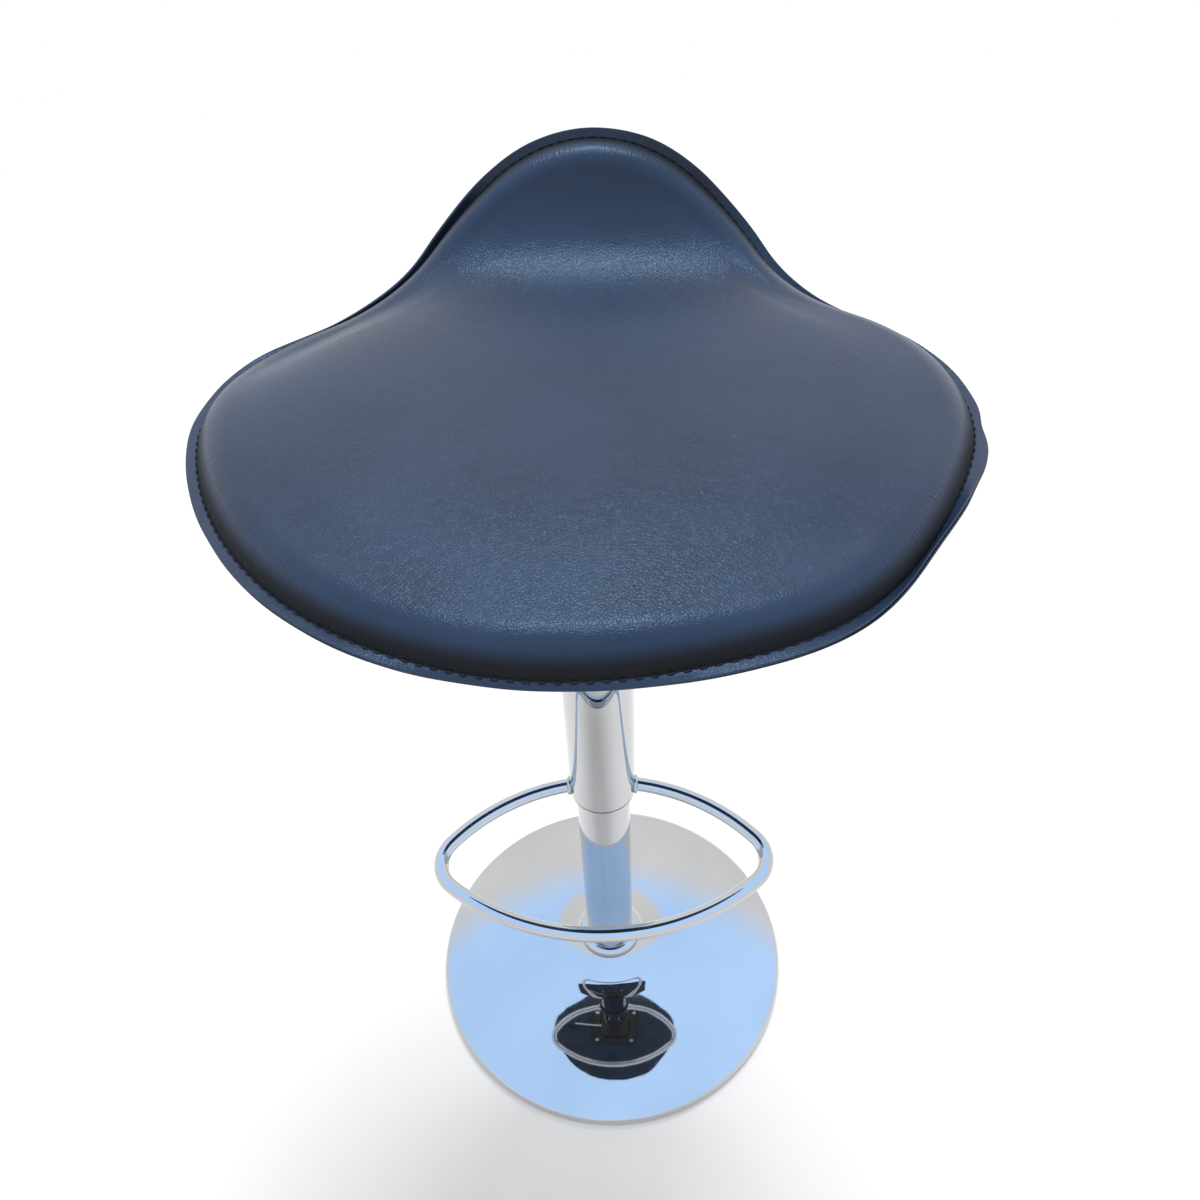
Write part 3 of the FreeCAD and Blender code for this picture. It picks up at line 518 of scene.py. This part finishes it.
def leather(name):
    """Black grained leather: pebbles and fine creases, with streaks, and painted shade and dark reflection
    where it turns down.
    """
    material, tree, shader = new_material(name)
    where = place(tree)
    warp = noise(tree, WARP_SCALE, 2.0, where, "Color")
    pebble = add(tree, "TexVoronoi", {"Scale": PEBBLE_SCALE}, feature="DISTANCE_TO_EDGE")
    tree.links.new(blend(tree, WARP_SIZE, where, warp, "ADD"), pebble.inputs["Vector"])
    crease = add(tree, "MapRange", {"From Max": CREASE_WIDTH})
    tree.links.new(pebble.outputs["Distance"], crease.inputs["Value"])
    grain = add(tree, "Math", {1: FINE_SHARE}, operation="MULTIPLY_ADD")
    tree.links.new(noise(tree, FINE_SCALE, 3.0, where), grain.inputs[0])
    tree.links.new(crease.outputs["Result"], grain.inputs[2])
    drawn = add(tree, "Mapping", {"Scale": STREAK_STRETCH})
    tree.links.new(attribute(tree, "edge_frame"), drawn.inputs["Vector"])
    streaks = noise(tree, STREAK_SCALE, 2.0, drawn.outputs["Vector"])
    edge = add(tree, "SeparateXYZ")
    tree.links.new(attribute(tree, "edge"), edge.inputs["Vector"])
    strained = span(tree, streaks, 0.0, STREAK_HEIGHT)
    height = blend(tree, edge.outputs["Y"], grain.outputs["Value"], strained)
    hide = noise(tree, HIDE_SCALE, 4.0, where)
    # The hide's tone: black, with a painted blue sky reflection in it
    tone = two_tone(tree, hide, *LEATHER_TONES_PAINTED_BLUE)
    # Painted shade and dark reflection where the leather turns down over the wall
    painted_shade_mask = two_tone(tree, edge.outputs["X"], (0, 0, 0), (1, 1, 1), WALL_START, WALL_WHOLE)
    tree.links.new(blend(tree, painted_shade_mask, tone, WALL_PAINTED_SHADE), shader.inputs["Base Color"])
    rough = span(tree, hide, *LEATHER_ROUGH)
    tree.links.new(blend(tree, painted_shade_mask, rough, WALL_ROUGH), shader.inputs["Roughness"])
    shader.inputs["IOR"].default_value = LEATHER_IOR
    bumped(tree, shader, height, GRAIN_DEPTH, GRAIN_STRENGTH)
    return material


def chrome(name, rough, tones=((0.53, 0.54, 0.555), (0.59, 0.60, 0.615)), stretch=(1, 1, 1)):
    """Polished plate with a faint drift of tone and fine wear in its polish."""
    material, tree, shader = new_material(name)
    drift = noise(tree, 9.0, 2.0)
    wear = noise(tree, 260.0, 5.0, place(tree, stretch))
    tree.links.new(two_tone(tree, drift, *tones), shader.inputs["Base Color"])
    tree.links.new(span(tree, wear, *rough), shader.inputs["Roughness"])
    shader.inputs["Metallic"].default_value = 1.0
    return material


def coated(name, tones, rough, grain, depth, metallic=0.0):
    """Paint, plastic, rubber, thread or plain steel with a grain of its own."""
    material, tree, shader = new_material(name)
    drift = noise(tree, 25.0, 3.0)
    fine = noise(tree, grain, 4.0)
    tree.links.new(two_tone(tree, drift, *tones), shader.inputs["Base Color"])
    tree.links.new(span(tree, fine, *rough), shader.inputs["Roughness"])
    shader.inputs["Metallic"].default_value = metallic
    bumped(tree, shader, fine, depth, 0.5)
    return material


CHROMES = {
    "chrome_base": {"rough": (0.02, 0.05)},
    "chrome_trim": {"rough": (0.03, 0.06)},
    "chrome_tube": {"rough": (0.02, 0.06), "stretch": (1, 1, 0.1)},
    "weld_metal": {"rough": (0.12, 0.3), "tones": ((0.44, 0.45, 0.46), (0.56, 0.57, 0.58))},
    "lever_steel": {"rough": (0.05, 0.12)},
}
# Each with its dark and light tone, its roughness, and the scale and depth of its grain
COATINGS = {
    "black_steel": (((0.018, 0.018, 0.02), (0.032, 0.032, 0.034)), (0.38, 0.55), 700, 0.1 * MM),
    "bright_steel": (((0.42, 0.43, 0.45), (0.6, 0.61, 0.63)), (0.2, 0.35), 900, 0.02 * MM, 1.0),
    "zinc": (((0.5, 0.51, 0.5), (0.68, 0.69, 0.66)), (0.22, 0.4), 600, 0.03 * MM, 1.0),
    "floor_rubber": (((0.012, 0.012, 0.012), (0.03, 0.03, 0.03)), (0.6, 0.8), 500, 0.15 * MM),
    "nylon": (((0.015, 0.015, 0.017), (0.03, 0.03, 0.033)), (0.4, 0.55), 800, 0.05 * MM),
    "knob_plastic": (((0.012, 0.012, 0.014), (0.024, 0.024, 0.026)), (0.35, 0.5), 900, 0.06 * MM),
    "foam": (((0.5, 0.47, 0.36), (0.66, 0.62, 0.5)), (0.8, 0.95), 400, 0.3 * MM),
    "plywood": (((0.38, 0.25, 0.14), (0.52, 0.37, 0.22)), (0.5, 0.7), 120, 0.1 * MM),
    "black_thread": (((0.003, 0.003, 0.004), (0.009, 0.010, 0.012)), (0.7, 0.9), 2400, 0.12 * MM),
}
finishes = {"black_leather": leather("black_leather")}
finishes.update((name, chrome(name, **look)) for name, look in CHROMES.items())
finishes.update((name, coated(name, *look)) for name, look in COATINGS.items())
node_slots = {entry["node"]: entry["material_slot"] for entry in frame["record"]["subparts"]}
for node, piece in frame["nodes"].items():
    piece.data.materials.clear()
    piece.data.materials.append(finishes[node_slots[node]])

# Sewn seat
cushion = padded_half("seat_cushion", 1, CUSHION_RISE, CUSHION_ROLL, crown=CUSHION_CROWN, dip=rises(LEFT_DIP))
underside = padded_half("seat_underside", -1, UNDERSIDE_DEPTH, UNDERSIDE_ROLL, slant=1)
puff(cushion)
relax(cushion)
relax(underside, -UNDERSIDE_DEPTH)
upper_stitches = stitch_row("seat_stitches_upper", 1)
lower_stitches = stitch_row("seat_stitches_lower", -1)
for piece in (cushion, underside):
    smooth = piece.modifiers.new("smooth", "SUBSURF")
    smooth.levels = smooth.render_levels = 1
    piece.data.materials.append(finishes["black_leather"])
    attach(piece, "seat")
for piece in (upper_stitches, lower_stitches):
    piece.data.materials.append(finishes["black_thread"])
    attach(piece, "seat")
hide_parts("seat_foam", "seat_cover_top")
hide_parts("seat_cover_bottom")

# Stage, light and camera
FLOOR_HALF = 6.0
FLOOR_TONES = (0.79, 0.79, 0.79), (0.82, 0.82, 0.82)
FLOOR_GLOW, FADE_START, FADE_END = 0.30, 1.0, 3.0
WHITE, SKY_BLUE = (1, 1, 1, 1), (0.74, 1.06, 1.55, 1)
SKY_LIGHT = 0.38


def seen_directly(tree):
    """1 on rays from the camera, a mirror or glass."""
    path = add(tree, "LightPath")
    mirror = add(tree, "Math", operation="MAXIMUM")
    whole = add(tree, "Math", operation="MAXIMUM")
    tree.links.new(path.outputs["Is Camera Ray"], mirror.inputs[0])
    tree.links.new(path.outputs["Is Glossy Ray"], mirror.inputs[1])
    tree.links.new(mirror.outputs["Value"], whole.inputs[0])
    tree.links.new(path.outputs["Is Transmission Ray"], whole.inputs[1])
    return whole.outputs["Value"]


def pale_floor():
    """Pale floor that keeps the shadow and, seen directly, fades to plain white away from the stool."""
    material, tree, shader = new_material("pale_floor")
    mottle = noise(tree, 3.0, 2.0)
    tree.links.new(two_tone(tree, mottle, *FLOOR_TONES), shader.inputs["Base Color"])
    shader.inputs["Roughness"].default_value = 0.9
    shader.inputs["Specular IOR Level"].default_value = 0.0
    away = add(tree, "VectorMath", operation="LENGTH")
    fade = add(tree, "MapRange", {"From Min": FADE_START, "From Max": FADE_END})
    tree.links.new(place(tree), away.inputs[0])
    tree.links.new(away.outputs["Value"], fade.inputs["Value"])
    glow = add(tree, "Emission", {"Strength": FLOOR_GLOW})
    white = add(tree, "Emission", {"Strength": 1.0})
    both = add(tree, "AddShader")
    spread = add(tree, "MixShader")
    choose = add(tree, "MixShader")
    tree.links.new(shader.outputs["BSDF"], both.inputs[0])
    tree.links.new(glow.outputs["Emission"], both.inputs[1])
    tree.links.new(fade.outputs["Result"], spread.inputs["Fac"])
    tree.links.new(both.outputs["Shader"], spread.inputs[1])
    tree.links.new(white.outputs["Emission"], spread.inputs[2])
    tree.links.new(seen_directly(tree), choose.inputs["Fac"])
    tree.links.new(shader.outputs["BSDF"], choose.inputs[1])
    tree.links.new(spread.outputs["Shader"], choose.inputs[2])
    tree.links.new(choose.outputs["Shader"], tree.nodes["Material Output"].inputs["Surface"])
    return material


floor_corners = [(x * FLOOR_HALF, y * FLOOR_HALF, 0) for x, y in ((-1, -1), (1, -1), (1, 1), (-1, 1))]
floor = mesh_object("floor", floor_corners, [(0, 1, 2, 3)])
floor.data.materials.append(pale_floor())

world = bpy.data.worlds.new("studio")
bpy.context.scene.world = world
world.use_nodes = True
world_tree = world.node_tree
direction = add(world_tree, "TexCoord").outputs["Generated"]


def towards(axis, low, high):
    """0 to 1 as a direction of the sky turns towards an axis."""
    painted_shade_mask = add(world_tree, "VectorMath", {1: axis}, operation="DOT_PRODUCT")
    eased = add(world_tree, "MapRange", {"From Min": low, "From Max": high}, interpolation_type="SMOOTHSTEP")
    world_tree.links.new(direction, painted_shade_mask.inputs[0])
    world_tree.links.new(painted_shade_mask.outputs["Value"], eased.inputs["Value"])
    return eased.outputs["Result"]


# The gloss sees a blue part of the sky overhead, and the camera sees plain white
blue_part = add(world_tree, "Math", operation="MULTIPLY")
world_tree.links.new(towards((0, -0.57, 0.82), low=0.10, high=0.36), blue_part.inputs[0])
world_tree.links.new(towards((0, 0, 1), low=0.18, high=0.45), blue_part.inputs[1])
sky = blend(world_tree, blue_part.outputs["Value"], WHITE, SKY_BLUE)
to_camera = add(world_tree, "LightPath").outputs["Is Camera Ray"]
sky = blend(world_tree, to_camera, sky, WHITE)
seen = seen_directly(world_tree)
level = add(world_tree, "MapRange", {"To Min": SKY_LIGHT})
backdrop = world_tree.nodes["Background"]
world_tree.links.new(seen, level.inputs["Value"])
world_tree.links.new(blend(world_tree, seen, WHITE, sky), backdrop.inputs["Color"])
world_tree.links.new(level.outputs["Result"], backdrop.inputs["Strength"])


def soft_box(name, spot, target, size, power, colour=(1, 1, 1)):
    """A lamp whose light is soft; the gloss shows the sky in its place."""
    lamp = bpy.data.lights.new(name, "AREA")
    lamp.shape = "RECTANGLE"
    lamp.size, lamp.size_y = size
    lamp.energy = power
    lamp.color = colour
    made = bpy.data.objects.new(name, lamp)
    made.location = spot
    made.rotation_euler = (Vector(target) - Vector(spot)).to_track_quat("-Z", "Y").to_euler()
    made.visible_glossy = False
    bpy.context.scene.collection.objects.link(made)
    return made


soft_box("overhead", spot=(0.5, 2.4, 7.0), target=(0, 0, 0.4), size=(2.6, 2.6), power=350)
soft_box("side_fill", spot=(-2.2, -0.6, 1.7), target=(0, 0, 0.5), size=(1.2, 1.6), power=5)
# This lamp lights the seat alone and shows in its gloss, for the highlight along the bend
sheen = soft_box("seat_sheen", spot=(-0.2, 1.1, 3.7), target=(0, 0.08, 0.8), size=(1.3, 0.7), power=38,
                 colour=(0.5, 0.74, 1.0))
sheen.visible_glossy = True
lit_seat = bpy.data.collections.new("lit_seat")
for piece in (cushion, underside, upper_stitches, lower_stitches):
    lit_seat.objects.link(piece)
sheen.light_linking.receiver_collection = lit_seat

# Camera fitted to the photograph, its focal length and centre in the picture's pixels
PICTURE = 1200
FOCAL, CENTRE_X, CENTRE_Y = 1000.0, 592.0, 670.0
PITCH, YAW, ROLL = math.radians(47.29), math.radians(-5.51), math.radians(-3.25)
STAND = Vector((48.9, -547.0, 1086.5)) * MM
ahead = Vector((math.sin(YAW) * math.cos(PITCH), math.cos(YAW) * math.cos(PITCH), -math.sin(PITCH)))
level_right = Vector((math.cos(YAW), -math.sin(YAW), 0))
right = level_right * math.cos(ROLL) + level_right.cross(ahead) * math.sin(ROLL)
up = right.cross(ahead)
camera = bpy.data.cameras.new("camera")
camera.sensor_width = 36.0
camera.lens = FOCAL / PICTURE * camera.sensor_width
camera.shift_x = 0.5 - CENTRE_X / PICTURE
camera.shift_y = CENTRE_Y / PICTURE - 0.5
camera.clip_start = 0.01
viewer = bpy.data.objects.new("camera", camera)
viewer.matrix_world = Matrix.Translation(STAND) @ Matrix((right, up, -ahead)).transposed().to_4x4()
bpy.context.scene.collection.objects.link(viewer)
bpy.context.scene.camera = viewer
bpy.context.scene.view_settings.view_transform = "Standard"
